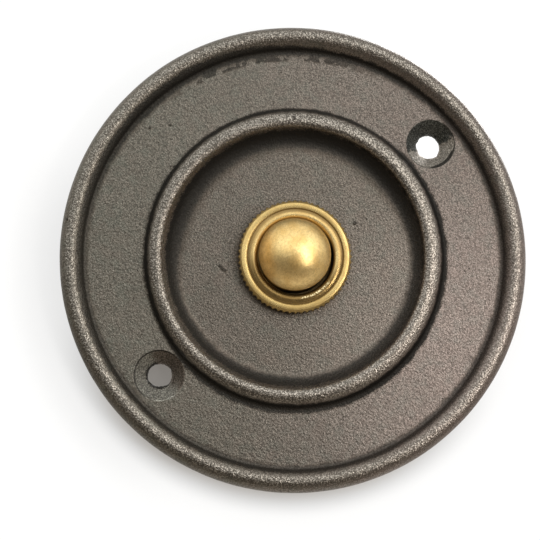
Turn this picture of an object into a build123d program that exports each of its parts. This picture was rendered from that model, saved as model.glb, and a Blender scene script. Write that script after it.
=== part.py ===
from build123d import *
import math
import os

# A round cast iron bell push with a domed brass button. Lengths are in millimetres.
# The plate stands upright, as on a wall: its front looks along -Y and +Z is up.
# Each piece is drawn with its own z pointing out of the wall, and z = 0 is the wall.

# Iron plate
plate_diameter = 76.0
field_height = 5.0
dish_height = 4.4
rim_rise = 1.7
rim_outer_round = 1.8
rim_inner_round = 2.0
rim_fillet = 0.6
bead_diameter = 45.0
bead_rise = 1.9
bead_outer_round = 1.75
bead_fillet = 0.7
bead_inner_round = 1.3
dish_slope = 48.0
dish_fillet = 2.4
recess_depth = 2.2
foot_width = 3.6
foot_corner = 0.4
recess_fillet = 0.8
seat_diameter = 28.0
seat_rise = 0.4
barrel_hole_clearance = 0.2

# Screw holes of the plate
fixing_circle = 58.4
fixing_angle = 40.3
fixing_hole_diameter = 3.9
countersink_diameter = 8.1
countersink_overrun = 1.0

# Knurled ring nut
ring_wall = 1.4
ring_height = 2.6
ring_land_width = 0.85
ring_land_crown = 0.15
knurl_bevel = 45.0
knurl_teeth = 60
knurl_depth = 0.3
knurl_margin = 0.1
thread_clearance = 0.1

# Barrel
thread_diameter = 15.5
thread_chamfer = 0.05
lip_rise = 0.2
lip_crown = 0.28
thread_runout = 0.8
bore_diameter = 12.3
rear_bore_diameter = 13.8
shoulder_height = 3.4
flange_thickness = 2.0

# Lock washer
lock_washer_thickness = 0.6
lock_washer_ring_diameter = 20.4
lock_washer_diameter = 25.0
lock_washer_teeth = 14
lock_washer_tooth_width = 2.0

# Button
button_clearance = 0.35
button_flange_thickness = 1.0
button_shoulder_height = 8.6
dome_rise = 3.1
travel = 2.0
stem_diameter = 3.0
stem_end_diameter = 2.0
stem_end_length = 3.2
spring_pocket_diameter = 10.0
spring_pocket_core = 4.6
spring_pocket_depth = 3.6

# Return spring
spring_wire = 0.6
spring_mean_diameter = 7.4
spring_turns = 5

# Guide disc
guide_thickness = 1.0
guide_clearance = 0.1

# Bridge and the pieces that hold it on the stem
bridge_rest_gap = 0.4
bush_flange_diameter = 6.0
bush_flange_thickness = 0.8
bush_sleeve_diameter = 3.4
bridge_diameter = 12.8
bridge_thickness = 0.6
bridge_washer_thickness = 0.6
stem_fit = 0.02
clip_diameter = 4.8
clip_thickness = 0.5
clip_groove_diameter = 1.4
clip_mouth = 1.2

# Switch base
base_body_diameter = 19.0
base_cavity_diameter = 15.0
base_flange_thickness = 2.5
base_cavity_depth = 7.0
base_wall = 3.0
barrier_thickness = 1.2
barrier_height = 2.4
base_edge_fillet = 0.6
base_flange_overhang = 1.0
ear_edge = 0.7

# Contacts
contact_spacing = 9.6
contact_tip_diameter = 3.0
contact_gap_when_pressed = 0.05
contact_collar_diameter = 5.2
contact_collar_thickness = 0.8
contact_body_diameter = 4.8
insert_fit = 0.02

# Terminal screws and washers
terminal_thread_diameter = 3.0
terminal_screw_length = 3.0
terminal_head_diameter = 5.2
terminal_head_height = 1.7
terminal_washer_diameter = 6.0
washer_thickness = 0.5
washer_clearance = 0.15
tapped_clearance = 0.05
slot_width = 0.7
slot_depth = 0.9
screw_edge_round = 0.3

# Base screws and washers
base_thread_diameter = 2.5
base_screw_reach = 1.6
base_head_diameter = 4.4
base_head_height = 1.5
base_washer_diameter = 5.0
base_hole_clearance = 0.2
base_washer_gap = 0.4

# Sizes that follow from those above
ring_diameter = thread_diameter + 2 * (thread_clearance + ring_wall)
flange_diameter = base_body_diameter + 2 * base_flange_overhang
ear_spacing = base_body_diameter + base_washer_diameter + 2 * base_washer_gap
ear_radius = base_washer_diameter / 2 + ear_edge

# Heights that follow from the sizes above
seat_height = recess_depth - seat_rise
flange_front = seat_height - lock_washer_thickness
flange_back = flange_front - flange_thickness
guide_back = flange_back - guide_thickness
base_flange_back = guide_back - base_flange_thickness
cavity_floor = guide_back - base_cavity_depth
base_back = cavity_floor - base_wall
ring_front = dish_height + ring_height
lip_height = ring_front + lip_rise
stem_shoulder = guide_back - bridge_rest_gap
bridge_front = stem_shoulder - bush_flange_thickness
bridge_back = bridge_front - bridge_thickness
clip_front = bridge_back - bridge_washer_thickness
clip_back = clip_front - clip_thickness
contact_face = bridge_back - travel - contact_gap_when_pressed
pocket_roof = shoulder_height - button_flange_thickness + spring_pocket_depth

# Takes x to +X, y to +Z and z to -Y.
UPRIGHT = Plane(origin=(0, 0, 0), x_dir=(1, 0, 0), z_dir=(0, -1, 0))


def turned(outline):
    """The solid of revolution of a closed outline of (radius, height) edges."""
    return revolve(UPRIGHT * make_face(outline), Axis.Z)


def turned_points(*points):
    """The solid of revolution of a polygon of (radius, height) corners."""
    return turned(Polyline(*points, close=True).edges())


def cylinder(diameter, low, high, x=0.0, y=0.0):
    """A round bar between two heights."""
    return Pos(x, y, (low + high) / 2) * Cylinder(diameter / 2, high - low)


def slab(face, low, high):
    """A flat face drawn at height zero, made into a slab between two heights."""
    return Pos(0, 0, low) * extrude(face, high - low)


def eared_face():
    """The two-eared outline that the flange, the guide disc and the base share."""
    half = ear_spacing / 2
    rounds = [
        Circle(flange_diameter / 2),
        Pos(0, half) * Circle(ear_radius),
        Pos(0, -half) * Circle(ear_radius),
    ]
    return make_hull([edge for one in rounds for edge in one.edges()])


def at_ears(diameter, low, high):
    """A round bar at each ear."""
    half = ear_spacing / 2
    return [cylinder(diameter, low, high, 0, half), cylinder(diameter, low, high, 0, -half)]


def bead_side(crest, top, crest_round, fillet_radius, side):
    """One side of a bead on the field: a round from the crest and a fillet at its foot, and the foot's radius.
    The side is 1 for outwards and -1 for inwards."""
    drop = field_height + fillet_radius - (top - crest_round)
    reach = math.sqrt((crest_round + fillet_radius) ** 2 - drop**2)
    lean = side * math.degrees(math.atan2(reach, drop))
    foot = crest + side * reach
    upper = CenterArc((crest, top - crest_round), crest_round, 90, -lean)
    lower = CenterArc((foot, field_height + fillet_radius), fillet_radius, 270, -lean)
    return [upper, lower], foot


def cast_plate():
    radius = plate_diameter / 2
    rim_top = field_height + rim_rise
    rim_crest = radius - rim_outer_round
    rim_side, rim_foot = bead_side(rim_crest, rim_top, rim_inner_round, rim_fillet, -1)
    bead_top = field_height + bead_rise
    bead_crest = bead_diameter / 2
    bead_edges, bead_foot = bead_side(bead_crest, bead_top, bead_outer_round, bead_fillet, 1)
    slope = math.radians(dish_slope)
    flank_top = (
        bead_crest - bead_inner_round * math.sin(slope),
        bead_top - bead_inner_round * (1 - math.cos(slope)),
    )
    flank_height = dish_height + dish_fillet * (1 - math.cos(slope))
    flank_foot = (flank_top[0] - (flank_top[1] - flank_height) / math.tan(slope), flank_height)
    dish_edge = flank_foot[0] - dish_fillet * math.sin(slope)
    hole = thread_diameter / 2 + barrel_hole_clearance
    foot_inside = radius - foot_width
    seat = seat_diameter / 2
    outline = [
        Line((foot_inside, 0), (radius - foot_corner, 0)),
        CenterArc((radius - foot_corner, foot_corner), foot_corner, 270, 90),
        Line((radius, foot_corner), (radius, rim_top - rim_outer_round)),
        CenterArc((rim_crest, rim_top - rim_outer_round), rim_outer_round, 0, 90),
        *rim_side,
        Line((rim_foot, field_height), (bead_foot, field_height)),
        *bead_edges,
        CenterArc((bead_crest, bead_top - bead_inner_round), bead_inner_round, 90, dish_slope),
        Line(flank_top, flank_foot),
        CenterArc((dish_edge, dish_height + dish_fillet), dish_fillet, 270, dish_slope),
        Line((dish_edge, dish_height), (hole, dish_height)),
        Line((hole, dish_height), (hole, seat_height)),
        Line((hole, seat_height), (seat, seat_height)),
        Line((seat, seat_height), (seat, recess_depth)),
        Line((seat, recess_depth), (foot_inside - recess_fillet, recess_depth)),
        CenterArc((foot_inside - recess_fillet, recess_depth - recess_fillet), recess_fillet, 0, 90),
        Line((foot_inside, recess_depth - recess_fillet), (foot_inside, 0)),
    ]
    body = turned(outline)
    small = fixing_hole_diameter / 2
    large = countersink_diameter / 2
    mouth = field_height + countersink_overrun
    cutter = turned_points(
        (0, 0),
        (small, 0),
        (small, field_height - (large - small)),
        (large + countersink_overrun, mouth),
        (0, mouth),
    )
    for turn_angle in (fixing_angle, fixing_angle + 180):
        body -= Rot(0, 0, turn_angle) * Pos(fixing_circle / 2, 0, 0) * cutter
    return body


def ring_nut():
    outside = ring_diameter / 2
    bore = thread_diameter / 2 + thread_clearance
    tooth = 2 * math.pi / knurl_teeth
    corners = []
    for number in range(knurl_teeth):
        angle = number * tooth
        low = outside - knurl_depth
        corners.append((outside * math.cos(angle), outside * math.sin(angle)))
        corners.append((low * math.cos(angle + tooth / 2), low * math.sin(angle + tooth / 2)))
    knurled = slab(make_face(Polyline(*corners, close=True).edges()), dish_height, ring_front)
    blank = outside + knurl_margin
    land = bore + ring_land_width
    land_edge = ring_front - ring_land_crown
    bevel_foot = land_edge - (blank - land) * math.tan(math.radians(knurl_bevel))
    envelope = turned(
        [
            Line((bore, dish_height), (blank, dish_height)),
            Line((blank, dish_height), (blank, bevel_foot)),
            Line((blank, bevel_foot), (land, land_edge)),
            ThreePointArc((land, land_edge), ((bore + land) / 2, ring_front), (bore, land_edge)),
            Line((bore, land_edge), (bore, dish_height)),
        ]
    )
    return knurled & envelope


def barrel():
    thread = thread_diameter / 2
    bore = bore_diameter / 2
    rear_bore = rear_bore_diameter / 2
    lip_outside = thread - thread_chamfer
    lip_middle = (lip_outside + bore) / 2
    lip_edge = lip_height - lip_crown
    thread_end = lip_edge - thread_runout
    outline = [
        Line((rear_bore, flange_back), (thread, flange_back)),
        Line((thread, flange_back), (thread, thread_end - thread_chamfer)),
        Line((thread, thread_end - thread_chamfer), (lip_outside, thread_end)),
        Line((lip_outside, thread_end), (lip_outside, lip_edge)),
        ThreePointArc((lip_outside, lip_edge), (lip_middle, lip_height), (bore, lip_edge)),
        Line((bore, lip_edge), (bore, shoulder_height)),
        Line((bore, shoulder_height), (rear_bore, shoulder_height)),
        Line((rear_bore, shoulder_height), (rear_bore, flange_back)),
    ]
    flange = slab(eared_face(), flange_back, flange_front)
    flange -= cylinder(rear_bore_diameter, flange_back, flange_front)
    for hole in at_ears(base_thread_diameter + 2 * tapped_clearance, flange_back, flange_front):
        flange -= hole
    return turned(outline) + flange


def lock_washer():
    hole = thread_diameter / 2 + barrel_hole_clearance
    tooth_length = lock_washer_diameter / 2 - hole
    tooth = Pos(hole + tooth_length / 2, 0) * Rectangle(tooth_length, lock_washer_tooth_width)
    face = Circle(lock_washer_ring_diameter / 2)
    for number in range(lock_washer_teeth):
        face += Rot(0, 0, 360 / lock_washer_teeth * number) * tooth
    face -= Circle(hole)
    return slab(face, flange_front, seat_height)


def push_button():
    outside = bore_diameter / 2 - button_clearance
    flange = rear_bore_diameter / 2 - button_clearance
    pocket = spring_pocket_diameter / 2
    core = spring_pocket_core / 2
    stem = stem_diameter / 2
    stem_end = stem_end_diameter / 2
    groove = clip_groove_diameter / 2
    flange_rear = shoulder_height - button_flange_thickness
    end = stem_shoulder - stem_end_length
    top = button_shoulder_height + dome_rise
    dome = (outside**2 + dome_rise**2) / (2 * dome_rise)
    half = math.asin(outside / dome) / 2
    if dome_rise > outside:
        half = (math.pi - math.asin(outside / dome)) / 2
    middle = (dome * math.sin(half), top - dome * (1 - math.cos(half)))
    outline = [
        Line((0, end), (stem_end, end)),
        Line((stem_end, end), (stem_end, clip_back)),
        Line((stem_end, clip_back), (groove, clip_back)),
        Line((groove, clip_back), (groove, clip_front)),
        Line((groove, clip_front), (stem_end, clip_front)),
        Line((stem_end, clip_front), (stem_end, stem_shoulder)),
        Line((stem_end, stem_shoulder), (stem, stem_shoulder)),
        Line((stem, stem_shoulder), (stem, flange_rear)),
        Line((stem, flange_rear), (core, flange_rear)),
        Line((core, flange_rear), (core, pocket_roof)),
        Line((core, pocket_roof), (pocket, pocket_roof)),
        Line((pocket, pocket_roof), (pocket, flange_rear)),
        Line((pocket, flange_rear), (flange, flange_rear)),
        Line((flange, flange_rear), (flange, shoulder_height)),
        Line((flange, shoulder_height), (outside, shoulder_height)),
        Line((outside, shoulder_height), (outside, button_shoulder_height)),
        ThreePointArc((outside, button_shoulder_height), middle, (0, top)),
        Line((0, top), (0, end)),
    ]
    return turned(outline)


def return_spring():
    low = flange_back + spring_wire / 2
    length = pocket_roof - flange_back - spring_wire
    coil = Helix(length / spring_turns, length, spring_mean_diameter / 2, center=(0, 0, low))
    section = Plane(origin=coil @ 0, z_dir=coil % 0) * Circle(spring_wire / 2)
    return sweep(section, coil, is_frenet=True)


def guide_disc():
    disc = slab(eared_face(), guide_back, flange_back)
    disc -= cylinder(stem_diameter + 2 * guide_clearance, guide_back, flange_back)
    for hole in at_ears(base_thread_diameter + 2 * base_hole_clearance, guide_back, flange_back):
        disc -= hole
    return disc


def bridge_bush():
    bush = cylinder(bush_flange_diameter, bridge_front, stem_shoulder)
    bush += cylinder(bush_sleeve_diameter, bridge_back, bridge_front)
    return bush - cylinder(stem_end_diameter + 2 * stem_fit, bridge_back, stem_shoulder)


def contact_bridge():
    disc = cylinder(bridge_diameter, bridge_back, bridge_front)
    return disc - cylinder(bush_sleeve_diameter + 2 * stem_fit, bridge_back, bridge_front)


def bridge_washer():
    washer = cylinder(bush_flange_diameter, clip_front, bridge_back)
    return washer - cylinder(stem_end_diameter + 2 * stem_fit, clip_front, bridge_back)


def stem_clip():
    face = Circle(clip_diameter / 2) - Circle(clip_groove_diameter / 2 + stem_fit)
    face -= Pos(clip_diameter / 2, 0) * Rectangle(clip_diameter, clip_mouth)
    return slab(face, clip_back, clip_front)


def switch_base():
    body = fillet(
        cylinder(base_body_diameter, base_back, guide_back).edges().group_by(Axis.Z)[0],
        base_edge_fillet,
    )
    body += slab(eared_face(), base_flange_back, guide_back)
    barrier_length = base_body_diameter - 2 * base_edge_fillet
    barrier = Rectangle(barrier_thickness, barrier_length)
    body += slab(barrier, base_back - barrier_height, base_back)
    body -= cylinder(base_cavity_diameter, cavity_floor, guide_back)
    for side in (-1, 1):
        x = side * contact_spacing / 2
        body -= cylinder(contact_body_diameter + 2 * insert_fit, base_back, cavity_floor, x)
    for hole in at_ears(base_thread_diameter + 2 * base_hole_clearance, base_flange_back, guide_back):
        body -= hole
    return body


def contact(side):
    x = side * contact_spacing / 2
    piece = cylinder(contact_body_diameter, base_back, cavity_floor, x)
    piece += cylinder(contact_collar_diameter, cavity_floor, cavity_floor + contact_collar_thickness, x)
    piece += cylinder(contact_tip_diameter, cavity_floor, contact_face, x)
    tapped = terminal_thread_diameter + 2 * tapped_clearance
    return piece - cylinder(tapped, base_back, base_back + terminal_screw_length, x)


def slotted_screw(thread, head, head_height, length, slot_angle):
    """A cheese-head screw whose head sits at z = 0 and whose shank points along +z."""
    shape = cylinder(head, -head_height, 0)
    shape = fillet(shape.edges().group_by(Axis.Z)[0], screw_edge_round)
    slot = Box(2 * head, slot_width, 2 * slot_depth)
    shape -= Pos(0, 0, -head_height) * Rot(0, 0, slot_angle) * slot
    return shape + cylinder(thread, 0, length)


def terminal_screws():
    seat = base_back - washer_thickness
    screws = []
    for side, slot_angle in ((-1, 28), (1, 112)):
        screw = slotted_screw(
            terminal_thread_diameter,
            terminal_head_diameter,
            terminal_head_height,
            terminal_screw_length,
            slot_angle,
        )
        screws.append(Pos(side * contact_spacing / 2, 0, seat) * screw)
    return screws


def terminal_washers():
    low = base_back - washer_thickness
    inside = terminal_thread_diameter + 2 * washer_clearance
    washers = []
    for side in (-1, 1):
        x = side * contact_spacing / 2
        washer = cylinder(terminal_washer_diameter, low, base_back, x)
        washers.append(washer - cylinder(inside, low, base_back, x))
    return washers


def base_screws():
    seat = base_flange_back - washer_thickness
    length = flange_back + base_screw_reach - seat
    screws = []
    for side, slot_angle in ((-1, 65), (1, 150)):
        screw = slotted_screw(
            base_thread_diameter,
            base_head_diameter,
            base_head_height,
            length,
            slot_angle,
        )
        screws.append(Pos(0, side * ear_spacing / 2, seat) * screw)
    return screws


def base_washers():
    low = base_flange_back - washer_thickness
    outer = at_ears(base_washer_diameter, low, base_flange_back)
    inner = at_ears(base_thread_diameter + 2 * washer_clearance, low, base_flange_back)
    return [ring - hole for ring, hole in zip(outer, inner)]


pieces = {
    "cast_plate": [cast_plate()],
    "ring_nut": [ring_nut()],
    "lock_washer": [lock_washer()],
    "barrel": [barrel()],
    "push_button": [push_button()],
    "return_spring": [return_spring()],
    "guide_disc": [guide_disc()],
    "bridge_bush": [bridge_bush()],
    "contact_bridge": [contact_bridge()],
    "bridge_washer": [bridge_washer()],
    "stem_clip": [stem_clip()],
    "switch_base": [switch_base()],
    "contact_left": [contact(-1)],
    "contact_right": [contact(1)],
    "terminal_screws": terminal_screws(),
    "terminal_washers": terminal_washers(),
    "base_screws": base_screws(),
    "base_washers": base_washers(),
}

os.makedirs("parts", exist_ok=True)
for name, shapes in pieces.items():
    solids = [solid for shape in shapes for solid in (UPRIGHT * shape).solids()]
    export_step(solids[0] if len(solids) == 1 else Compound(solids), f"parts/{name}.step")
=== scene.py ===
import math

import bpy
import numpy as np
from mathutils import Matrix, Vector, noise


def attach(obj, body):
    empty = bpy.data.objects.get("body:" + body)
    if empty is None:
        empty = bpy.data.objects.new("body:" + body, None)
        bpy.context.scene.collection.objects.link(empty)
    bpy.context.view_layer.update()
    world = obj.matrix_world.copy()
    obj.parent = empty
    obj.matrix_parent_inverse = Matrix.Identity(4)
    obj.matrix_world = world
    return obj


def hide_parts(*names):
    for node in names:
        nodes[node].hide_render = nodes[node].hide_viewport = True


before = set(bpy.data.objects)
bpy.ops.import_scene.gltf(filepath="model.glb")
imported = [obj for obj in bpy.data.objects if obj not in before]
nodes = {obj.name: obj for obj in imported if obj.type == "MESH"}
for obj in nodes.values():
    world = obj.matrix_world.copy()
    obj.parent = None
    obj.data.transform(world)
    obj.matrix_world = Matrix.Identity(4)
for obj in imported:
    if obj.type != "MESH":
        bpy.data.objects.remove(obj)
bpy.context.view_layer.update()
scene = bpy.context.scene

# Sizes are in millimetres on the plate's own axes: x right, y up, z out of the wall.
MM = 0.001


def place(x, y, z):
    """A point on the plate's axes, in the frame, in metres."""
    return (x * MM, -z * MM, y * MM)


# Plate
PLATE_R = 38.0
FIELD_Z = 5.0
DISH_Z = 4.4
RIM_R = 36.2
RIM_CREST = 6.7
RIM_INSIDE = 2.0
RIM_FILLET = 0.6
BEAD_R = 22.5
BEAD_CREST = 6.9
BEAD_OUTSIDE = 1.75
BEAD_FILLET = 0.7
BEAD_INSIDE = 1.3
DISH_SLOPE = math.radians(48)
DISH_FILLET = 2.4
HOLE_R = 7.95
SEAT_R = 14.0
SEAT_Z = 1.8
RECESS_Z = 2.2
FOOT_INSIDE = 34.4
FOOT_CORNER = 0.4
RECESS_FILLET = 0.8
FRONT_CORNERS = 720
BACK_CORNERS = 360

# Uneven skin of the casting: waves as (height, waves per mm)
SKIN_WAVES = ((0.030, 0.13), (0.012, 0.45), (0.006, 1.3))
SKIN_START_R = 9.4
SKIN_FADE = 2.0

# Screw holes
FIXING_R = 29.2
FIXING_ANGLE = 40.3
FIXING_HOLE_R = 1.95
COUNTERSINK_R = 4.05
DRILLED_OFF = (0.30, -0.15)
CUTTER_CORNERS = 96

# Ring nut
RING_R = 9.25
RING_Z = 7.0
RING_LAND_WIDTH = 0.85
RING_LAND_CROWN = 0.04
RING_BORE_R = 7.85
RING_LAND_R = RING_BORE_R + RING_LAND_WIDTH
RING_CLOSED_R = 7.735
KNURL_TEETH = 60
KNURL_DEPTH = 0.3
KNURL_STEPS = 12

# Barrel
LIP_BORE_R = 6.15
LIP_R = 7.70
THREAD_PITCH = 0.6

# Button
BUTTON_R = 5.8
BUTTON_LEAN = (-0.20, 0.20)
BUTTON_SHOULDER_Z = 8.6
DOME_RISE = 3.1
BUTTON_FLANGE_R = 6.55
BUTTON_FLANGE_FRONT = 3.4
BUTTON_FLANGE_BACK = 2.4
SPRING_POCKET_R = 5.0
SPRING_CORE_R = 2.3
SPRING_POCKET_ROOF = 6.0
STEM_R = 1.5
STEM_END_R = 1.0
STEM_SHOULDER_Z = -2.2
STEM_END_Z = -5.4
CLIP_GROOVE_R = 0.7
CLIP_FRONT = -4.2
CLIP_BACK = -4.7
BUTTON_CORNERS = 256

# Shader helpers


def node(tree, kind, inputs=None, **settings):
    """A new shader node. Its inputs are constants or outputs of other nodes."""
    n = tree.nodes.new("ShaderNode" + kind)
    for key, value in settings.items():
        setattr(n, key, value)
    for key, value in (inputs or {}).items():
        if isinstance(value, bpy.types.NodeSocket):
            tree.links.new(value, n.inputs[key])
        else:
            n.inputs[key].default_value = value
    return n


def maths(tree, operation, a, b=0.0, c=0.0):
    return node(tree, "Math", {0: a, 1: b, 2: c}, operation=operation).outputs[0]


def times(tree, product, *others):
    for other in others:
        product = maths(tree, "MULTIPLY", product, other)
    return product


def shifted(tree, start, share, by):
    """The start value, moved by this much where the share is 1."""
    return maths(tree, "MULTIPLY_ADD", share, by, start)


def swing(tree, texture, reach):
    """A texture that runs from 0 to 1, as a number that swings about zero."""
    return times(tree, maths(tree, "SUBTRACT", texture, 0.5), reach)


def total(tree, *shares):
    """The sum of (value, weight) pairs."""
    result = 0.0
    for value, weight in shares:
        result = shifted(tree, result, value, weight)
    return result


def vector(tree, operation, a, b=(0.0, 0.0, 0.0)):
    n = node(tree, "VectorMath", {0: a, 1: b}, operation=operation)
    return n.outputs["Value" if operation in ("LENGTH", "DOT_PRODUCT") else "Vector"]


def ramp(tree, value, low, high, to_low=0.0, to_high=1.0):
    inputs = {"Value": value, "From Min": low, "From Max": high, "To Min": to_low, "To Max": to_high}
    return node(tree, "MapRange", inputs, interpolation_type="SMOOTHSTEP").outputs[0]


def mix(tree, share, a, b, blend="MIX"):
    n = node(tree, "Mix", {0: share, 6: a, 7: b}, data_type="RGBA", blend_type=blend)
    return n.outputs[2]


def grain(tree, where, scale, detail=2.0, roughness=0.5):
    inputs = {"Vector": where, "Scale": scale, "Detail": detail, "Roughness": roughness}
    return node(tree, "TexNoise", inputs).outputs[0]


def cells(tree, where, scale):
    """Distance to the nearest of a set of scattered points, and a random number for that point."""
    n = node(tree, "TexVoronoi", {"Vector": where, "Scale": scale}, feature="F1")
    chance = node(tree, "SeparateColor", {0: n.outputs["Color"]}).outputs[0]
    return n.outputs["Distance"], chance


def colour(r, g, b):
    return (r, g, b, 1.0)


def new_material(name):
    material = bpy.data.materials.new(name)
    material.use_nodes = True
    tree = material.node_tree
    tree.nodes.clear()
    return material, tree


def surface(tree, inputs):
    shader = node(tree, "BsdfPrincipled", inputs)
    out = node(tree, "OutputMaterial")
    tree.links.new(shader.outputs[0], out.inputs[0])


def own_coordinates(tree):
    """The piece's own coordinates in millimetres, on the plate's axes, with the radius from its axis."""
    raw = node(tree, "TexCoord").outputs["Object"]
    mm = vector(tree, "MULTIPLY", raw, (1 / MM, 1 / MM, 1 / MM))
    parts = node(tree, "SeparateXYZ", {0: mm})
    x, z, y = parts.outputs[0], times(tree, parts.outputs[1], -1.0), parts.outputs[2]
    flat = node(tree, "CombineXYZ", {0: x, 1: y}).outputs[0]
    return {"mm": mm, "x": x, "y": y, "z": z, "flat": flat, "radius": vector(tree, "LENGTH", flat)}


def around(tree, at, middle):
    """The flat coordinates and the radius about another point than the plate's centre."""
    flat = vector(tree, "SUBTRACT", at["flat"], (*middle, 0.0))
    return {"flat": flat, "radius": vector(tree, "LENGTH", flat)}


def direction(degrees):
    """The unit vector at this angle: 0 right, 90 up."""
    turn = math.radians(degrees)
    return (math.cos(turn), math.sin(turn), 0.0)


def toward(tree, at, degrees):
    """1 on the side of the centre at this angle, -1 on the side away from it."""
    return vector(tree, "DOT_PRODUCT", vector(tree, "NORMALIZE", at["flat"]), direction(degrees))


def bump(tree, height, distance, strength=1.0, normal=None):
    inputs = {"Height": height, "Distance": distance, "Strength": strength}
    if normal is not None:
        inputs["Normal"] = normal
    return node(tree, "Bump", inputs).outputs[0]


# Cast iron. In each material, t is its node tree and at its coordinates.


def iron_textures(t, at):
    """The grain of the casting, from fine sand to broad patches, and the height of its surface."""
    sand = grain(t, at["mm"], 5.2, 3.0, 0.8)
    pebble = cells(t, at["mm"], 3.8)[0]
    return {
        "sand": sand,
        "soft": grain(t, at["mm"], 0.9),
        "broad": grain(t, at["mm"], 0.14),
        "height": total(t, (sand, 0.75), (maths(t, "SUBTRACT", 1.0, pebble), 0.25)),
    }


def iron_colour(t, at, skin, worn):
    """Sand-cast metal of uneven tone with burnished crests, lighter at the lower right: partly wear from
    handling, partly painted light.
    """
    hollow, grit = colour(0.096, 0.083, 0.070), colour(0.236, 0.204, 0.172)
    metal = mix(t, ramp(t, skin["height"], 0.40, 0.64), hollow, grit)
    metal = mix(t, ramp(t, skin["broad"], 0.38, 0.62, 0.0, 0.2), metal, colour(0.135, 0.118, 0.098))
    green = grain(t, at["mm"], 0.55, 1.0)
    metal = mix(t, ramp(t, green, 0.45, 0.70, 0.0, 0.12), metal, colour(0.110, 0.140, 0.118))
    in_dish = ramp(t, at["radius"], BEAD_R - 1.0, BEAD_R - 3.0)
    metal = mix(t, in_dish, metal, colour(0.90, 0.90, 0.90), "MULTIPLY")
    warm = grain(t, at["mm"], 0.31, 2.0, 0.6)
    metal = mix(t, ramp(t, warm, 0.50, 0.72, 0.0, 0.16), metal, colour(0.185, 0.140, 0.118))
    cast = mix(t, ramp(t, at["x"], -30, 30), colour(0.94, 0.98, 0.97), colour(1.01, 0.975, 1.01))
    metal = mix(t, ramp(t, at["radius"], BEAD_R - 0.5, BEAD_R + 2.5), metal, cast, "MULTIPLY")
    # Lighter towards the lower right: partly wear from handling, partly painted light.
    handled_and_lit = ramp(t, around(t, at, (27.0, -17.0))["radius"], 35.0, 6.0)
    metal = mix(t, handled_and_lit, metal, colour(1.42, 1.385, 1.41), "MULTIPLY")

    hollow, grit = colour(0.095, 0.083, 0.070), colour(0.470, 0.423, 0.368)
    burnished = mix(t, ramp(t, skin["height"], 0.46, 0.62), hollow, grit)
    burnished = mix(t, handled_and_lit, burnished, colour(1.28, 1.27, 1.28), "MULTIPLY")
    side = toward(t, at, 60)
    rubbed = shifted(t, 0.62, times(t, side, side), 0.38)
    return mix(t, times(t, worn, rubbed), metal, burnished)


def crease_grime_and_shade(t, at, skin):
    """Darkening in the creases beside the rim and the bead, round the ring nut and on the rim's outer side
    at the lower
    right, wider and darker on some sides: partly grime, partly painted shade. Grime patches run along the
    top of the rim.
    """
    wander = maths(t, "ADD", swing(t, skin["soft"], 0.7), swing(t, skin["sand"], 0.9))
    ragged = maths(t, "ADD", at["radius"], wander)
    high_up = ramp(t, toward(t, at, 95), 0.1, 0.9)
    upper = ramp(t, toward(t, at, 100), -0.3, 0.6)
    left_flank = ramp(t, toward(t, at, 155), 0.2, 0.85)
    low_flank = ramp(t, toward(t, at, 305), -0.1, 0.6)
    low = ramp(t, toward(t, at, 267), 0.3, 0.95)
    right = ramp(t, toward(t, at, 0), 0.5, 1.0)
    bead_end = shifted(t, shifted(t, BEAD_R + 2.45, low, 0.75), right, 0.5)
    nut_end = shifted(t, RING_R + 0.15, ramp(t, toward(t, at, 215), 0.0, 0.9), 0.5)

    # Each band is (start, full, fading, end, share), outwards
    # The bands are partly grime and partly painted shade, wider and darker on the sides given by their
    # angles.
    rim_outside = (
        RIM_R + 0.4,
        RIM_R + 0.9,
        PLATE_R + 0.3,
        PLATE_R + 0.8,
        ramp(t, toward(t, at, 322), 0.85, 0.99, 0.0, 0.35),
    )
    rim_inside = (
        shifted(t, RIM_R - 3.0, high_up, -0.6),
        shifted(t, RIM_R - 2.3, high_up, -0.05),
        shifted(t, shifted(t, RIM_R - 1.8, left_flank, 0.65), low_flank, -0.1),
        shifted(t, shifted(t, RIM_R - 1.3, left_flank, 0.95), low_flank, 1.1),
        shifted(t, 0.68, high_up, 0.2),
    )
    bead_outside = (
        BEAD_R + 1.1,
        BEAD_R + 1.5,
        maths(t, "SUBTRACT", bead_end, 0.6),
        bead_end,
        ramp(t, toward(t, at, 345), 0.3, 0.8, 0.85, 0.97),
    )
    dish_edge = (
        shifted(t, BEAD_R - 3.9, upper, -2.2),
        shifted(t, BEAD_R - 2.6, upper, -0.5),
        BEAD_R - 1.75,
        BEAD_R - 1.2,
        shifted(t, 0.80, upper, 0.15),
    )
    nut_edge = (HOLE_R - 3.0, HOLE_R - 2.0, maths(t, "SUBTRACT", nut_end, 0.7), nut_end, 0.55)

    patchy = times(t, ramp(t, toward(t, at, 97), 0.78, 0.96), ramp(t, skin["soft"], 0.42, 0.50))
    grime_and_shade = times(t, patchy, ramp(t, ragged, RIM_R - 3.9, RIM_R - 3.5))
    grime_and_shade = times(t, grime_and_shade, ramp(t, ragged, RIM_R - 1.7, RIM_R - 2.0, 0.0, 0.72))
    for start, full, fading, end, share in (rim_outside, rim_inside, bead_outside, dish_edge, nut_edge):
        band = times(t, ramp(t, ragged, start, full), ramp(t, ragged, end, fading, 0.0, share))
        grime_and_shade = maths(t, "MAXIMUM", grime_and_shade, band)
    return grime_and_shade


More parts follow.
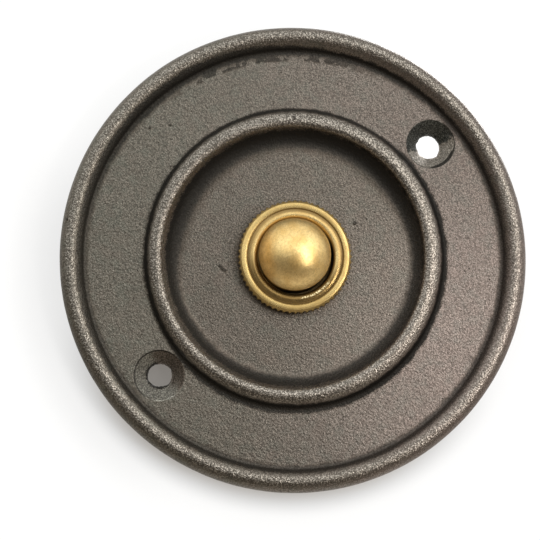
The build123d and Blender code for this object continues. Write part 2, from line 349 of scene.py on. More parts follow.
def iron_pits(t, at, skin):
    """Pits, few and of different sizes, specks that crowd on the left, and one short gouge in the dish."""
    hollow, chance = cells(t, at["mm"], 0.30)
    size = ramp(t, chance, 0.84, 1.0, 0.0, 0.10)
    pit = ramp(t, maths(t, "SUBTRACT", hollow, size), 0.02, -0.03)

    speck, chance = cells(t, at["mm"], 1.5)
    left = ramp(t, toward(t, at, 170), 0.2, 0.9)
    crowd = ramp(t, shifted(t, skin["broad"], left, 0.1), 0.45, 0.70, 0.955, 0.74)
    speck = times(t, ramp(t, speck, 0.20, 0.10), maths(t, "GREATER_THAN", chance, crowd))
    speck = times(t, speck, ramp(t, at["z"], FIELD_Z + 0.3, FIELD_Z + 0.1, 0.0, 0.95))

    mark = around(t, at, (-11.7, -1.7))["flat"]
    along = maths(t, "ABSOLUTE", vector(t, "DOT_PRODUCT", mark, direction(-43)))
    across = maths(t, "ABSOLUTE", vector(t, "DOT_PRODUCT", mark, direction(47)))
    across = maths(t, "ADD", across, swing(t, skin["sand"], 0.5))
    gouge = times(t, ramp(t, across, 0.32, 0.12), ramp(t, along, 0.95, 0.7))
    return maths(t, "MAXIMUM", maths(t, "MAXIMUM", pit, speck), gouge)


def hole_middle(turn):
    """The middle of a screw hole. Both were drilled a little off the plate's centre."""
    x, y, _ = direction(turn)
    return FIXING_R * x + DRILLED_OFF[0], FIXING_R * y + DRILLED_OFF[1]


def upper_countersink(t, at, skin, metal, wave, drilled):
    """Dark above, partly soot and partly painted shade, and a lighter shelf below, partly bare metal and
    partly painted light, with a dark line that thickens at the lower right.
    """
    hole = around(t, at, hole_middle(FIXING_ANGLE))
    inside = times(t, ramp(t, hole["radius"], COUNTERSINK_R + 0.07, COUNTERSINK_R - 0.07), drilled)
    up = toward(t, hole, 108)
    # Dark above: partly soot, partly painted shade. The lighter shelf below is bare metal with painted
    # light.
    soot_and_shade = times(t, inside, ramp(t, maths(t, "ADD", up, wave), -0.12, 0.02))
    shelf = maths(t, "SUBTRACT", inside, soot_and_shade)
    scab = ramp(t, skin["height"], 0.42, 0.62)
    soot_and_shade_tone = mix(t, scab, colour(0.034, 0.036, 0.032), colour(0.150, 0.152, 0.140))
    shelf_tone = mix(t, scab, colour(0.190, 0.168, 0.144), colour(0.500, 0.455, 0.395))
    metal = mix(t, shelf, mix(t, soot_and_shade, metal, soot_and_shade_tone), shelf_tone)
    low_right = shifted(t, toward(t, hole, -50), wave, 0.3)
    line_start = ramp(t, low_right, 0.66, 0.92, COUNTERSINK_R - 0.19, COUNTERSINK_R - 0.59)
    line = ramp(t, maths(t, "SUBTRACT", hole["radius"], line_start), 0.0, 0.12)
    return metal, times(t, line, inside, ramp(t, up, 0.35, 0.15))


def lower_countersink(t, at, skin, metal, wave, drilled):
    """Darker at the upper right, partly rust and partly painted shade, and lighter elsewhere, bare metal
    with painted light, with a dark edge and a dark lip at the hole.
    """
    hole = around(t, at, hole_middle(FIXING_ANGLE + 180))
    inside = times(t, ramp(t, hole["radius"], COUNTERSINK_R + 0.15, COUNTERSINK_R), drilled)
    # Darker at the upper right: partly rust, partly painted shade. Lighter elsewhere: bare metal with
    # painted light.
    rusty_and_shaded_side = maths(t, "ADD", toward(t, hole, 35), wave)
    rust_and_shade = times(t, inside, ramp(t, rusty_and_shaded_side, -0.1, 0.6))
    bare_and_lit = maths(t, "SUBTRACT", inside, rust_and_shade)
    scab = ramp(t, skin["height"], 0.42, 0.62)
    rust_and_shade_tone = mix(t, scab, colour(0.070, 0.054, 0.043), colour(0.240, 0.190, 0.155))
    bare_and_lit_tone = mix(t, scab, colour(0.120, 0.115, 0.100), colour(0.450, 0.430, 0.375))
    metal = mix(t, times(t, rust_and_shade, 0.7), metal, rust_and_shade_tone)
    metal = mix(t, times(t, bare_and_lit, 0.8), metal, bare_and_lit_tone)
    edge = times(t, ramp(t, hole["radius"], COUNTERSINK_R - 0.25, COUNTERSINK_R - 0.07), inside)
    edge = times(t, edge, ramp(t, maths(t, "ADD", toward(t, hole, 150), wave), -0.5, 0.3))
    lip = maths(t, "ADD", hole["radius"], swing(t, skin["sand"], 0.8))
    lip = ramp(t, lip, FIXING_HOLE_R + 0.33, FIXING_HOLE_R + 0.21)
    lip = times(t, lip, ramp(t, maths(t, "ADD", toward(t, hole, 215), wave), -0.5, -0.2), drilled)
    return metal, maths(t, "MAXIMUM", edge, lip)


def cast_iron():
    material, t = new_material("waxed_cast_iron")
    at = own_coordinates(t)
    skin = iron_textures(t, at)
    front = ramp(t, at["z"], DISH_Z - 0.4, DISH_Z - 0.2)
    worn = ramp(t, at["z"], RIM_CREST - 0.3, RIM_CREST + 0.05)
    metal = iron_colour(t, at, skin, worn)
    pit = times(t, iron_pits(t, at, skin), front)
    # Dark marks: crease darkening that is partly grime and partly painted shade, and the pits.
    dark = maths(t, "MAXIMUM", times(t, crease_grime_and_shade(t, at, skin), front), times(t, pit, 0.7))
    wave = swing(t, skin["soft"], 0.9)
    drilled = ramp(t, at["z"], RECESS_Z + 0.05, RECESS_Z + 0.15)
    for countersink in (upper_countersink, lower_countersink):
        metal, line = countersink(t, at, skin, metal, wave, drilled)
        dark = maths(t, "MAXIMUM", dark, times(t, line, 0.9))
    thin, thick = colour(0.058, 0.042, 0.030), colour(0.018, 0.0165, 0.0145)
    base = mix(t, dark, metal, mix(t, ramp(t, dark, 0.25, 0.80), thin, thick))

    rough = ramp(t, skin["height"], 0.36, 0.68, 0.47, 0.39)
    rough = shifted(t, rough, ramp(t, at["z"], FIELD_Z + 0.4, FIELD_Z + 1.4), -0.11)
    rough = shifted(t, rough, dark, 0.15)
    normal = bump(t, pit, 0.10 * MM, 0.8)
    normal = bump(t, grain(t, at["mm"], 2.9, 1.0), 0.08 * MM, normal=normal)
    normal = bump(t, skin["height"], shifted(t, 0.05 * MM, worn, -0.01 * MM), normal=normal)
    surface(t, {"Base Color": base, "Metallic": 0.9, "Roughness": rough, "Normal": normal})
    return material


# Brass


def brass(name, light, dark, rough, metallic, rub=0.008 * MM, turned=True, tarnish=(), painted_side_shade=(), wear_and_shade=None):
    """Tarnish is a list of (clean radius, dark radius, share); the next list, of (angle, share), paints
    shade on the side at that angle. The last argument is a function that adds one piece's own wear and
    painted shade."""
    material, t = new_material(name)
    at = own_coordinates(t)
    stain = grain(t, at["mm"], 0.42, 3.0, 0.55)
    speck = grain(t, at["mm"], 4.2, 2.0, 0.6)
    fine = grain(t, at["mm"], 8.0, 2.0, 0.6)
    ragged = maths(t, "ADD", at["radius"], swing(t, speck, 0.25))
    base = mix(t, ramp(t, stain, 0.35, 0.68), light, dark)
    base = mix(t, ramp(t, fine, 0.35, 0.65, 0.22, 0.0), base, colour(0.35, 0.20, 0.07))
    base = mix(t, ramp(t, speck, 0.66, 0.76, 0.0, 0.7), base, colour(0.20, 0.10, 0.035))
    roughness = ramp(t, stain, 0.3, 0.7, *rough)
    normal = bump(t, fine, rub)
    for clean, dirty, most in tarnish:
        share = ramp(t, ragged, clean, dirty, 0.0, most)
        base = mix(t, share, base, colour(0.200, 0.120, 0.035))
        roughness = shifted(t, roughness, share, 0.15)
    # Painted shade on the side at each angle.
    for angle, most in painted_side_shade:
        share = ramp(t, toward(t, at, angle), 0.3, 0.95, 0.0, most)
        base = mix(t, share, base, colour(0.33, 0.225, 0.085))
    if turned:
        tool_marks = node(t, "CombineXYZ", {0: times(t, at["radius"], 14.0), 1: at["z"]}).outputs[0]
        normal = bump(t, grain(t, tool_marks, 1.0, 2.0, 0.6), 0.022 * MM, normal=normal)
    if wear_and_shade:
        at.update(speck=speck, ragged=ragged)
        base, roughness, normal = wear_and_shade(t, at, base, roughness, normal)
    surface(t, {"Base Color": base, "Metallic": metallic, "Roughness": roughness, "Normal": normal})
    return material


def lip_wear_and_shade(t, at, base, rough, normal):
    """Brown outside, browner and darker below as tarnish and painted shade, rubbed bright along the
    opening, with a painted glint at the lower right, painted shade deep in the bore, and a thread outside.
    """
    out = maths(t, "SUBTRACT", at["radius"], LIP_BORE_R)
    ragged = maths(t, "SUBTRACT", at["ragged"], LIP_BORE_R)
    # The lower side is browner and darker: partly tarnish, partly painted shade.
    low = times(t, ramp(t, toward(t, at, 263), -0.3, 0.5), ramp(t, at["z"], FIELD_Z, FIELD_Z + 0.2))
    outer = times(t, ramp(t, ragged, 0.70, 1.25), shifted(t, 0.78, low, -0.25))
    inner = times(t, ramp(t, ragged, 1.30, 0.95), times(t, low, 0.81))
    brown = mix(t, low, colour(0.175, 0.105, 0.036), colour(0.105, 0.056, 0.013))
    base = mix(t, maths(t, "MAXIMUM", outer, inner), base, brown)
    polished = times(t, ramp(t, out, 0.29, 0.41), ramp(t, out, 0.85, 0.65))
    polished = times(t, polished, maths(t, "SUBTRACT", 1.0, low), 0.45)
    base = mix(t, polished, base, colour(1.0, 0.78, 0.38))
    # A painted glint: bright dashes on the lip at the lower right.
    sparkle = times(t, ramp(t, out, 0.45, 0.57), ramp(t, out, 0.85, 0.73))
    sparkle = times(t, sparkle, ramp(t, toward(t, at, 300), 0.90, 0.965), ramp(t, at["speck"], 0.46, 0.56))
    base = mix(t, sparkle, base, colour(0.95, 0.80, 0.48))

    turn = maths(t, "DIVIDE", maths(t, "ARCTAN2", at["y"], at["x"]), 2 * math.pi)
    climb = maths(t, "ADD", maths(t, "DIVIDE", at["z"], THREAD_PITCH), turn)
    groove = ramp(t, maths(t, "PINGPONG", climb, 0.5), 0.30, 0.05)
    groove = times(t, groove, ramp(t, at["radius"], LIP_R, LIP_R + 0.03))
    base = mix(t, times(t, groove, 0.85), base, colour(0.05, 0.028, 0.012))
    normal = bump(t, maths(t, "SUBTRACT", 1.0, groove), 0.18 * MM, normal=normal)

    # Painted shade deep in the bore, darkest towards the lower right.
    deep = times(t, ramp(t, out, 0.17, 0.03), ramp(t, at["z"], RING_Z + 0.1, RING_Z))
    deep = times(t, deep, ramp(t, toward(t, at, 315), 0.0, 0.6, 0.25, 1.0))
    base = mix(t, times(t, deep, 0.97), base, colour(0.016, 0.010, 0.005))
    return base, maths(t, "MAXIMUM", rough, times(t, deep, 0.7)), normal


def dome_wear_and_shade(t, at, base, rough, normal):
    """Blotched and duller where fingers press, browner on the left as tarnish and painted shade, and with
    painted shade below the dome's shoulder.
    """
    blotch = grain(t, at["mm"], 2.4, 3.0, 0.7)
    pressed = maths(t, "ADD", around(t, at, (2.0, -0.4))["radius"], blotch)
    rough = maths(t, "ADD", rough, ramp(t, pressed, 3.2, 1.2, 0.0, 0.02))
    base = mix(t, ramp(t, blotch, 0.42, 0.66, 0.0, 0.35), base, colour(0.44, 0.26, 0.09))
    # Browner and darker on the left: partly tarnish, partly painted shade.
    base = mix(t, ramp(t, at["x"], -3.0, -4.8), base, colour(1.0, 0.85, 0.66), "MULTIPLY")
    # Painted shade below the dome's shoulder, darkest on the lower right.
    shadow_side = ramp(t, toward(t, at, 315), 0.0, 0.6)
    gap = mix(t, shadow_side, colour(0.50, 0.32, 0.12), colour(0.05, 0.028, 0.012))
    below = ramp(t, at["z"], BUTTON_SHOULDER_Z - 0.05, BUTTON_SHOULDER_Z - 0.45, 0.0, 0.9)
    return mix(t, below, base, gap), rough, normal


# Other materials


def plain_metal(name, light, dark, rough):
    material, t = new_material(name)
    at = own_coordinates(t)
    stain = grain(t, at["mm"], 0.8, 3.0, 0.55)
    fine = grain(t, at["mm"], 6.0, 2.0, 0.6)
    base = mix(t, ramp(t, stain, 0.35, 0.7), light, dark)
    roughness = ramp(t, fine, 0.3, 0.7, rough, rough + 0.14)
    relief = bump(t, fine, 0.01 * MM)
    surface(t, {"Base Color": base, "Metallic": 1.0, "Roughness": roughness, "Normal": relief})
    return material


def moulding(name, light, dark, rough, grain_size):
    material, t = new_material(name)
    at = own_coordinates(t)
    stain = grain(t, at["mm"], 0.5, 3.0, 0.55)
    fine = grain(t, at["mm"], grain_size, 3.0, 0.6)
    base = mix(t, ramp(t, stain, 0.35, 0.7), light, dark)
    roughness = ramp(t, fine, 0.3, 0.7, rough, rough + 0.18)
    surface(t, {"Base Color": base, "Roughness": roughness, "Normal": bump(t, fine, 0.02 * MM)})
    return material


# Meshes


def add_object(name, data):
    obj = bpy.data.objects.new(name, data)
    scene.collection.objects.link(obj)
    return obj


def new_mesh(name, points, faces):
    mesh = bpy.data.meshes.new(name)
    mesh.from_pydata(points, [], faces)
    mesh.update()
    return mesh


def shade(mesh, degrees):
    for polygon in mesh.polygons:
        polygon.use_smooth = True
    mesh.set_sharp_from_angle(angle=math.radians(degrees))


def arc(cx, cz, radius, start, end, step):
    count = max(2, round(abs(end - start) * radius / step))
    turns = [start + (end - start) * i / count for i in range(count + 1)]
    return [(cx + radius * math.cos(a), cz + radius * math.sin(a)) for a in turns]


def run(a, b, step):
    """A straight stretch from a to b, in steps of about this length."""
    count = max(1, round(math.dist(a, b) / step))
    shares = [i / count for i in range(count + 1)]
    return [(a[0] + (b[0] - a[0]) * share, a[1] + (b[1] - a[1]) * share) for share in shares]


def joined(*stretches):
    """Stretches of an outline in one list. Each starts at the point where the last one ends."""
    points = []
    for stretch in stretches:
        points += stretch if not points else stretch[1:]
    return points


def ring_mesh(name, rings):
    """A mesh of closed rings round the axis. Each ring is (radius, z, corners), and the last joins the
    first. A radius is a number, or a function of the angle."""
    starts, points, faces = [], [], []
    for radius, z, count in rings:
        starts.append(len(points))
        for i in range(count):
            angle = 2 * math.pi * i / count
            r = radius(angle) if callable(radius) else radius
            points.append(place(r * math.cos(angle), r * math.sin(angle), z))
    for k in range(len(rings)):
        a, b = starts[k], starts[(k + 1) % len(rings)]
        na, nb = rings[k][2], rings[(k + 1) % len(rings)][2]
        if na == nb:
            faces += [(a + i, a + (i + 1) % na, b + (i + 1) % na, b + i) for i in range(na)]
        elif na == 2 * nb:
            for i in range(nb):
                j, p, q = 2 * i, b + i, b + (i + 1) % nb
                faces += [(a + j, a + j + 1, p), (a + j + 1, q, p), (a + j + 1, a + (j + 2) % na, q)]
        else:
            for i in range(na):
                j, p, q = 2 * i, a + i, a + (i + 1) % na
                faces += [(p, b + j + 1, b + j), (p, q, b + j + 1), (q, b + (j + 2) % nb, b + j + 1)]
    return new_mesh(name, points, faces)


def lathe(name, outline, count):
    """A turned mesh. The outline runs from one point on the axis to another, as (radius, z)."""
    points, faces = [place(0, 0, outline[0][1])], []
    turns = [2 * math.pi * i / count for i in range(count)]
    for r, z in outline[1:-1]:
        points += [place(r * math.cos(a), r * math.sin(a), z) for a in turns]
    points.append(place(0, 0, outline[-1][1]))
    rows, last = len(outline) - 2, len(points) - 1
    for i in range(count):
        j = (i + 1) % count
        faces.append((0, 1 + j, 1 + i))
        for k in range(rows - 1):
            low, high = 1 + k * count, 1 + (k + 1) * count
            faces.append((low + i, low + j, high + j, high + i))
        top = 1 + (rows - 1) * count
        faces.append((top + i, top + j, last))
    return new_mesh(name, points, faces)


def foot(crest_r, crest_z, crest_round, fillet, floor_z, side):
    """A round crest that runs through a fillet into a flat floor on one side, from crest to floor."""
    drop = floor_z + fillet - (crest_z - crest_round)
    reach = math.sqrt((crest_round + fillet) ** 2 - drop**2)
    tilt = math.atan2(reach, drop)
    steps = 12
    turns = [tilt * i / steps for i in range(steps + 1)]
    low_r, low_z = crest_r + side * reach, floor_z + fillet
    top_z = crest_z - crest_round
    top = [(crest_r + side * crest_round * math.sin(a), top_z + crest_round * math.cos(a)) for a in turns]
    low = [(low_r - side * fillet * math.sin(a), low_z - fillet * math.cos(a)) for a in reversed(turns)]
    return joined(top, low)


def plate_profile():
    """The plate's outline as (radius, z): the dense front, the dish, and the back."""
    upright = math.pi / 2
    outside = PLATE_R - RIM_R
    corner = arc(PLATE_R - FOOT_CORNER, FOOT_CORNER, FOOT_CORNER, -upright, 0, 0.2)
    wall = run((PLATE_R, FOOT_CORNER), (PLATE_R, RIM_CREST - outside), 0.5)
    rim_out = arc(RIM_R, RIM_CREST - outside, outside, 0, upright, 0.2)
    rim_in = foot(RIM_R, RIM_CREST, RIM_INSIDE, RIM_FILLET, FIELD_Z, -1)
    bead_out = foot(BEAD_R, BEAD_CREST, BEAD_OUTSIDE, BEAD_FILLET, FIELD_Z, 1)[::-1]
    field = run(rim_in[-1], bead_out[0], 0.32)
    bead_in = arc(BEAD_R, BEAD_CREST - BEAD_INSIDE, BEAD_INSIDE, upright, upright + DISH_SLOPE, 0.15)
    front = joined(corner, wall, rim_out, rim_in, field, bead_out, bead_in)
    high = DISH_Z + DISH_FILLET * (1 - math.cos(DISH_SLOPE))
    flank = (bead_in[-1][0] - (bead_in[-1][1] - high) / math.tan(DISH_SLOPE), high)
    middle = flank[0] - DISH_FILLET * math.sin(DISH_SLOPE)
    hollow = arc(middle, DISH_Z + DISH_FILLET, DISH_FILLET, DISH_SLOPE - upright, -upright, 0.2)
    dish = joined(run(bead_in[-1], flank, 0.25), hollow, run(hollow[-1], (HOLE_R, DISH_Z), 0.3))[1:]
    recess = arc(FOOT_INSIDE - RECESS_FILLET, RECESS_Z - RECESS_FILLET, RECESS_FILLET, upright, 0, 0.3)
    back = joined(
        run((HOLE_R, DISH_Z), (HOLE_R, SEAT_Z), 0.8),
        run((HOLE_R, SEAT_Z), (SEAT_R, SEAT_Z), 1.2),
        run((SEAT_R, SEAT_Z), (SEAT_R, RECESS_Z), 0.4),
        run((SEAT_R, RECESS_Z), recess[0], 1.0),
        recess,
        run(recess[-1], (FOOT_INSIDE, 0), 0.7),
    )[1:]
    return front, dish, back


def hole_cutter(name, turn, offset, notches, seed):
    """A countersunk hole with the uneven walls of a hole drilled through a casting.
    Each notch is (angle, width, depth) on the through-hole's edge."""
    low, above = FIELD_Z - (COUNTERSINK_R - FIXING_HOLE_R), 1.0
    steps = 8
    # Each level is (radius, z, share of the through-hole's own unevenness)
    levels = [(FIXING_HOLE_R, z, 1.0) for z in (0.0, 1.6, 2.4)]
    for i in range(steps + 1):
        share = i / steps
        radius = FIXING_HOLE_R + share * (COUNTERSINK_R + above - FIXING_HOLE_R)
        levels.append((radius, low + share * (FIELD_Z + above - low), max(0.0, 1 - 2.2 * share)))
    cx, cy = hole_middle(turn)
    count, rows = CUTTER_CORNERS, len(levels)
    points, faces = [], []
    for radius, z, inner in levels:
        for i in range(count):
            angle = 2 * math.pi * i / count
            spot = Vector((math.cos(angle), math.sin(angle), z * 0.3 + seed))
            uneven = noise.noise(spot * 2.0) + 0.9 * noise.noise(spot * 6.0)
            r = radius + (0.04 + 0.05 * inner) * uneven
            for where, width, depth in notches:
                apart = math.remainder(angle - math.radians(where), 2 * math.pi)
                r += inner * depth * math.exp(-((apart / math.radians(width)) ** 2))
            x, y = r * math.cos(angle) + inner * offset[0], r * math.sin(angle) + inner * offset[1]
            points.append(place(cx + x, cy + y, z))
    for k in range(rows - 1):
        for i in range(count):
            j = (i + 1) % count
            faces.append((k * count + i, k * count + j, (k + 1) * count + j, (k + 1) * count + i))
    faces.append(tuple(reversed(range(count))))
    faces.append(tuple((rows - 1) * count + i for i in range(count)))
    return add_object(name, new_mesh(name, points, faces))


def plate_piece():
    """The casting, with its two holes drilled and its skin uneven."""
    front, dish, back = plate_profile()
    rings = [(r, z, FRONT_CORNERS) for r, z in front] + [(r, z, BACK_CORNERS) for r, z in dish + back]
    rough = add_object("plate_rough", ring_mesh("plate_rough", rings))
    upper_notches = ((172, 9, 0.16), (310, 10, 0.14), (40, 25, -0.12))
    lower_notches = ((90, 40, -0.16), (270, 40, -0.10), (30, 18, 0.10))
    cutters = [
        hole_cutter("cutter_a", FIXING_ANGLE, (-0.05, -0.12), upper_notches, 3.1),
        hole_cutter("cutter_b", FIXING_ANGLE + 180, (0.05, 0.02), lower_notches, 7.7),
    ]
    for cutter in cutters:
        cut = rough.modifiers.new("cut", "BOOLEAN")
        cut.operation = "DIFFERENCE"
        cut.object = cutter
        cut.solver = "EXACT"
    bpy.context.view_layer.update()
    done = bpy.data.meshes.new_from_object(rough.evaluated_get(bpy.context.evaluated_depsgraph_get()))
    for extra in [rough] + cutters:
        old = extra.data
        bpy.data.objects.remove(extra)
        bpy.data.meshes.remove(old)
    roughen(done)
    done.name = "plate_casting"
    shade(done, 50)
    return add_object("plate_casting", done)


def between(value, start, low, high, end):
    """1 from low to high, falling smoothly to 0 at start and end."""
    rise = np.clip((value - start) / (low - start), 0, 1)
    fall = np.clip((end - value) / (end - high), 0, 1)
    share = np.minimum(rise, fall)
    return share * share * (3 - 2 * share)


def roughen(mesh):
    """The uneven skin of a sand casting, whose two crests stray a little from their circles."""
    count = len(mesh.vertices)
    points = np.empty(count * 3, np.float32)
    normals = np.empty(count * 3, np.float32)
    mesh.vertices.foreach_get("co", points)
    mesh.vertices.foreach_get("normal", normals)
    points, normals = points.reshape(-1, 3), normals.reshape(-1, 3)
    radius = np.hypot(points[:, 0], points[:, 2]) / MM
    shift = np.zeros(count, np.float32)
    for i in np.flatnonzero(radius >= SKIN_START_R):
        spot = Vector(points[i]) / MM
        wave = sum(height * noise.noise(spot * per_mm) for height, per_mm in SKIN_WAVES)
        shift[i] = wave * min(1.0, (radius[i] - SKIN_START_R) / SKIN_FADE)
    points += normals * (shift * MM)[:, None]
    turn = np.arctan2(points[:, 2], points[:, 0])
    rim = 0.04 + 0.23 * np.sin(turn - 0.3)
    rim *= between(radius, RIM_R - 1.9, RIM_R - 1.1, RIM_R + 0.4, PLATE_R)
    bead = -0.20 - 0.22 * np.cos(turn - 0.2)
    bead *= between(radius, BEAD_R - 1.8, BEAD_R - 0.9, BEAD_R + 0.1, BEAD_R + 1.7)
    raised = points[:, 1] < -(FIELD_Z + 0.1) * MM
    stray = np.where(raised, (rim + bead) / np.maximum(radius, 1.0), 0.0)
    points[:, 0] *= 1 + stray
    points[:, 2] *= 1 + stray
    mesh.vertices.foreach_set("co", points.ravel())
    mesh.update()


def ring_nut_piece():
    """The knurled ring nut, with its corners rounded and its bore closed on the barrel near the front."""
    tooth = 2 * math.pi / KNURL_TEETH

    def knurl(limit):
        def radius(angle):
            apart = abs(math.remainder(angle, tooth)) / (tooth / 2)
            return min(RING_R - KNURL_DEPTH * (1 - (1 - apart) ** 1.4), limit)

        return radius

    half, rise = RING_LAND_WIDTH / 2, RING_LAND_CROWN
    curve = (half**2 + rise**2) / (2 * rise)
    lean = math.asin(half / curve)
    land = arc(RING_BORE_R + half, RING_Z - curve, curve, math.pi / 2 - lean, math.pi / 2 + lean, 0.05)
    bevel = run((RING_R, RING_Z - rise - (RING_R - RING_LAND_R)), land[0], 0.05)
    outside = run((RING_R, DISH_Z), bevel[0], 0.4)
    closed = [
        land[-1],
        (RING_CLOSED_R, RING_Z - 0.12),
        (RING_CLOSED_R, RING_Z - 0.6),
        (RING_BORE_R, RING_Z - 0.8),
    ]
    outline = joined(outside, bevel, land, closed, run(closed[-1], (RING_BORE_R, DISH_Z), 0.5))
    knurled_from = RING_R - KNURL_DEPTH - 0.02
    corners = KNURL_TEETH * KNURL_STEPS
    rings = [(knurl(r) if r > knurled_from else r, z, corners) for r, z in outline]
    mesh = ring_mesh("ring_nut_turned", rings)
    shade(mesh, 40)
    return add_object("ring_nut_turned", mesh)


def button_piece():
    """The push button, turned, with a dense dome. It leans a little in the barrel."""
    dome_r = (BUTTON_R**2 + DOME_RISE**2) / (2 * DOME_RISE)
    top = BUTTON_SHOULDER_Z + DOME_RISE
    start = math.asin((BUTTON_SHOULDER_Z - (top - dome_r)) / dome_r)
    dome = arc(0, top - dome_r, dome_r, start, math.pi / 2, 0.12)
    stem = [
        (0, STEM_END_Z),
        (STEM_END_R, STEM_END_Z),
        (STEM_END_R, CLIP_BACK),
        (CLIP_GROOVE_R, CLIP_BACK),
        (CLIP_GROOVE_R, CLIP_FRONT),
        (STEM_END_R, CLIP_FRONT),
        (STEM_END_R, STEM_SHOULDER_Z),
        (STEM_R, STEM_SHOULDER_Z),
        (STEM_R, BUTTON_FLANGE_BACK),
    ]
    skirt = [
        (SPRING_CORE_R, BUTTON_FLANGE_BACK),
        (SPRING_CORE_R, SPRING_POCKET_ROOF),
        (SPRING_POCKET_R, SPRING_POCKET_ROOF),
        (SPRING_POCKET_R, BUTTON_FLANGE_BACK),
        (BUTTON_FLANGE_R, BUTTON_FLANGE_BACK),
        (BUTTON_FLANGE_R, BUTTON_FLANGE_FRONT),
        (BUTTON_R, BUTTON_FLANGE_FRONT),
    ]
    mesh = lathe("button_turned", stem + skirt + dome[:-1] + [(0, top)], BUTTON_CORNERS)
    for vertex in mesh.vertices:
        height = -vertex.co.y / MM - BUTTON_FLANGE_FRONT
        share = min(1.0, max(0.0, height) / (BUTTON_SHOULDER_Z - BUTTON_FLANGE_FRONT))
        vertex.co.x += BUTTON_LEAN[0] * MM * share
        vertex.co.z += BUTTON_LEAN[1] * MM * share
    shade(mesh, 35)
    return add_object("button_turned", mesh)


# Pieces and their materials

iron = cast_iron()
brass_ring = brass(
    "knurled_brass",
    colour(0.725, 0.535, 0.225),
    colour(0.64, 0.445, 0.17),
    rough=(0.24, 0.32),
    metallic=0.95,
    tarnish=((RING_LAND_R - 0.02, RING_LAND_R + 0.16, 0.42), (RING_BORE_R + 0.17, RING_BORE_R + 0.03, 0.9)),
    painted_side_shade=((262, 0.50), (85, 0.47)),
)
brass_lip = brass(
    "threaded_brass",
    colour(0.78, 0.56, 0.24),
    colour(0.68, 0.46, 0.18),
    rough=(0.22, 0.32),
    metallic=0.95,
    tarnish=((LIP_BORE_R + 0.37, LIP_BORE_R + 0.15, 0.8),),
    painted_side_shade=((0, 0.3),),
    wear_and_shade=lip_wear_and_shade,
)
brass_dome = brass(
    "rubbed_brass",
    colour(0.93, 0.69, 0.31),
    colour(0.80, 0.54, 0.20),
    rough=(0.30, 0.36),
    metallic=0.9,
    rub=0.022 * MM,
    turned=False,
    wear_and_shade=dome_wear_and_shade,
)
brass_plain = brass(
    "turned_brass",
    colour(0.84, 0.62, 0.27),
    colour(0.76, 0.53, 0.20),
    rough=(0.26, 0.36),
    metallic=0.9,
)
bronze = plain_metal("rolled_bronze", colour(0.62, 0.42, 0.22), colour(0.48, 0.31, 0.15), 0.28)
steel = plain_metal("zinc_steel", colour(0.56, 0.56, 0.55), colour(0.40, 0.40, 0.40), 0.30)
fibre = moulding("red_fibre", colour(0.19, 0.055, 0.035), colour(0.12, 0.035, 0.025), 0.55, 3.0)
phenolic = moulding("black_moulding", colour(0.020, 0.018, 0.017), colour(0.030, 0.026, 0.022), 0.28, 2.2)


def give(piece, look):
    piece.data.materials.clear()
    piece.data.materials.append(look)


def stand_for(piece, cad_node, body, look):
    give(piece, look)
    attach(piece, body)
    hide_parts(cad_node)


stand_for(plate_piece(), "cast_plate", "plate", iron)
stand_for(ring_nut_piece(), "ring_nut", "plate", brass_ring)
stand_for(button_piece(), "push_button", "button", brass_dome)

looks = {
    "barrel": brass_lip,
    "lock_washer": steel,
    "return_spring": steel,
    "guide_disc": fibre,
    "bridge_bush": fibre,
    "bridge_washer": fibre,
    "contact_bridge": bronze,
    "stem_clip": steel,
    "switch_base": phenolic,
    "contact_left": brass_plain,
    "contact_right": brass_plain,
    "terminal_screws": brass_plain,
    "terminal_washers": brass_plain,
    "base_screws": steel,
    "base_washers": steel,
}
for name, look in looks.items():
    give(nodes[name], look)

# Backdrop: the white paper that the plate lies on, seen from the front only. Its soft shadow is partly cast
# and partly painted, and under the plate its light and shade are painted.


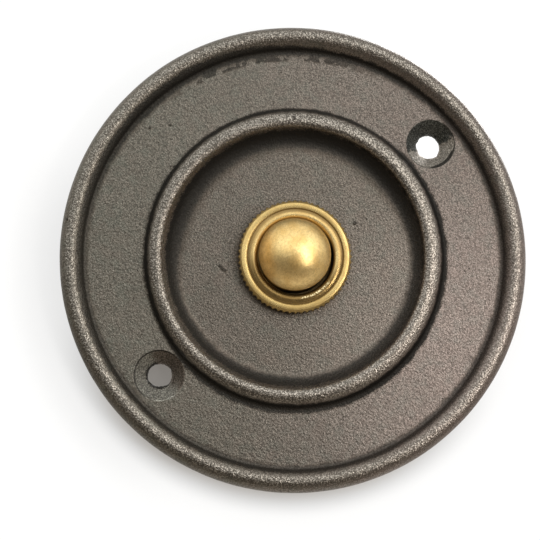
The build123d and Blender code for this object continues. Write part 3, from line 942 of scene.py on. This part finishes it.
def backdrop():
    far, behind = 900.0, -0.05
    corners = [place(x * far, y * far, behind) for x, y in ((-1, -1), (1, -1), (1, 1), (-1, 1))]
    board = add_object("backdrop", new_mesh("backdrop", corners, [(0, 1, 2, 3)]))
    material, t = new_material("white_paper")
    at = own_coordinates(t)
    # Under the plate the paper is painted dark, as painted shade.
    under = maths(t, "LESS_THAN", at["radius"], PLATE_R - 3.0)
    paper = mix(t, grain(t, at["mm"], 0.4), colour(0.255, 0.255, 0.26), colour(0.27, 0.27, 0.27))
    paper = mix(t, under, paper, colour(0.08, 0.08, 0.08))
    diffuse = node(t, "BsdfDiffuse", {"Color": paper})

    # A painted soft shadow in the glow, below and to the left of the plate.
    below = ramp(t, at["radius"], PLATE_R + 4.8, PLATE_R - 0.5)
    below = times(t, below, ramp(t, toward(t, at, 262), 0.30, 0.95))
    aside = ramp(t, at["radius"], PLATE_R + 11.0, PLATE_R + 5.0)
    aside = times(t, aside, ramp(t, toward(t, at, 198), 0.65, 0.97))
    open_paper = ramp(t, at["radius"], PLATE_R + 12.0, PLATE_R + 122.0, 0.76, 1.0)
    open_paper = maths(t, "SUBTRACT", open_paper, total(t, (below, 0.40), (aside, 0.075)))
    # Under the plate the glow is painted light and shade: bright at the upper right hole, dim at the lower
    # left one, warmer where weak.
    through_holes = ramp(t, maths(t, "ADD", at["x"], at["y"]), -20, 20, 0.20, 1.1)
    strength = node(t, "Mix", {0: under, 2: open_paper, 3: through_holes}, data_type="FLOAT").outputs[0]
    tone = mix(t, ramp(t, strength, 0.2, 0.6), colour(1.0, 0.93, 0.85), colour(1, 1, 1))
    glow = node(t, "Emission", {"Color": tone, "Strength": strength})
    both = node(t, "AddShader", {0: diffuse.outputs[0], 1: glow.outputs[0]})

    clear = node(t, "BsdfTransparent")
    front = maths(t, "SUBTRACT", 1.0, node(t, "NewGeometry").outputs["Backfacing"])
    seen = times(t, node(t, "LightPath").outputs["Is Camera Ray"], front)
    shown = node(t, "MixShader", {0: seen, 1: clear.outputs[0], 2: both.outputs[0]})
    out = node(t, "OutputMaterial")
    t.links.new(shown.outputs[0], out.inputs[0])
    board.data.materials.append(material)


backdrop()

# Light

DAYLIGHT = (1.0, 0.97, 0.93)
WHITE = (1.0, 1.0, 1.0)


def soft_light(name, position, size, power, tint):
    """A round lamp that points at the middle of the plate."""
    data = bpy.data.lights.new(name, "AREA")
    data.shape = "DISK"
    data.size = size * MM
    data.energy = power
    data.color = tint
    lamp = add_object(name, data)
    lamp.location = place(*position)
    lamp.rotation_euler = (-lamp.location).to_track_quat("-Z", "Y").to_euler()


soft_light("right_window", (254, 90, 372), 330, 0.58, DAYLIGHT)
soft_light("right_lamp", (256, -94, 367), 90, 0.38, DAYLIGHT)
soft_light("back_light", (260, 300, -420), 300, 1.5, WHITE)


def studio_world():
    """A wide bright window above, dim and warm below, white paper all round; plain white for the camera."""
    world = bpy.data.worlds.new("studio")
    scene.world = world
    world.use_nodes = True
    t = world.node_tree
    t.nodes.clear()
    way = node(t, "SeparateXYZ", {0: node(t, "TexCoord").outputs["Generated"]})
    across, up, ahead = way.outputs[0], way.outputs[2], times(t, way.outputs[1], -1.0)
    corner = times(t, ramp(t, across, 0.6, 0.95), ramp(t, up, 0.40, 0.05, 0.0, 0.4))
    window = times(
        t,
        ramp(t, up, -0.18, 0.32),
        ramp(t, up, 1.0, 0.60, 0.62, 1.0),
        ramp(t, across, -0.95, -0.45, 0.35, 1.0),
        ramp(t, across, 0.0, 0.6, 1.0, 0.82),
        maths(t, "SUBTRACT", 1.0, corner),
    )
    near = times(
        t,
        ramp(t, ahead, 0.62, 0.20),
        ramp(t, across, -0.9, -0.2, 0.45, 1.0),
        ramp(t, across, 0.80, 0.35, 0.15, 1.0),
    )
    floor = mix(t, near, colour(0.165, 0.140, 0.106), colour(0.70, 0.61, 0.49))
    tone = mix(t, window, floor, colour(1.58, 1.63, 1.62))
    paper = mix(t, ramp(t, across, -0.9, 0.1), colour(0.42, 0.40, 0.37), colour(0.95, 0.92, 0.87))
    paper = mix(t, ramp(t, up, -0.3, 0.6), paper, colour(1.00, 0.98, 0.94))
    tone = mix(t, ramp(t, ahead, 0.0, 0.35), paper, tone)
    sky = node(t, "Background", {"Color": tone, "Strength": 1.0})
    white = node(t, "Background", {"Color": colour(1, 1, 1), "Strength": 1.0})
    ray = node(t, "LightPath")
    choice = node(t, "MixShader", {0: ray.outputs["Is Camera Ray"], 1: sky.outputs[0], 2: white.outputs[0]})
    end = node(t, "OutputWorld")
    t.links.new(choice.outputs[0], end.inputs[0])


studio_world()
scene.view_settings.view_transform = "Standard"

# Camera: close to straight on, from a little below and to the left

CAMERA_AT = (-15.381, -19.362, 225.0)
CAMERA_TURN = (0.078705, -0.051185, -0.004879)
FOCAL_PIXELS = 1359.65
PICTURE_PIXELS = 540.0
SENSOR_WIDTH = 36.0

camera_data = bpy.data.cameras.new("camera")
camera_data.sensor_width = SENSOR_WIDTH
camera_data.lens = FOCAL_PIXELS / PICTURE_PIXELS * SENSOR_WIDTH
camera_data.clip_start = 0.005
camera_data.clip_end = 10.0
camera = add_object("camera", camera_data)
turn = Matrix.Rotation(CAMERA_TURN[2], 3, "Z") @ Matrix.Rotation(CAMERA_TURN[1], 3, "Y")
turn = turn @ Matrix.Rotation(CAMERA_TURN[0], 3, "X")
front_axes = Matrix(((1, 0, 0), (0, 0, -1), (0, 1, 0)))
camera.matrix_world = Matrix.Translation(place(*CAMERA_AT)) @ (front_axes @ turn).to_4x4()
scene.camera = camera
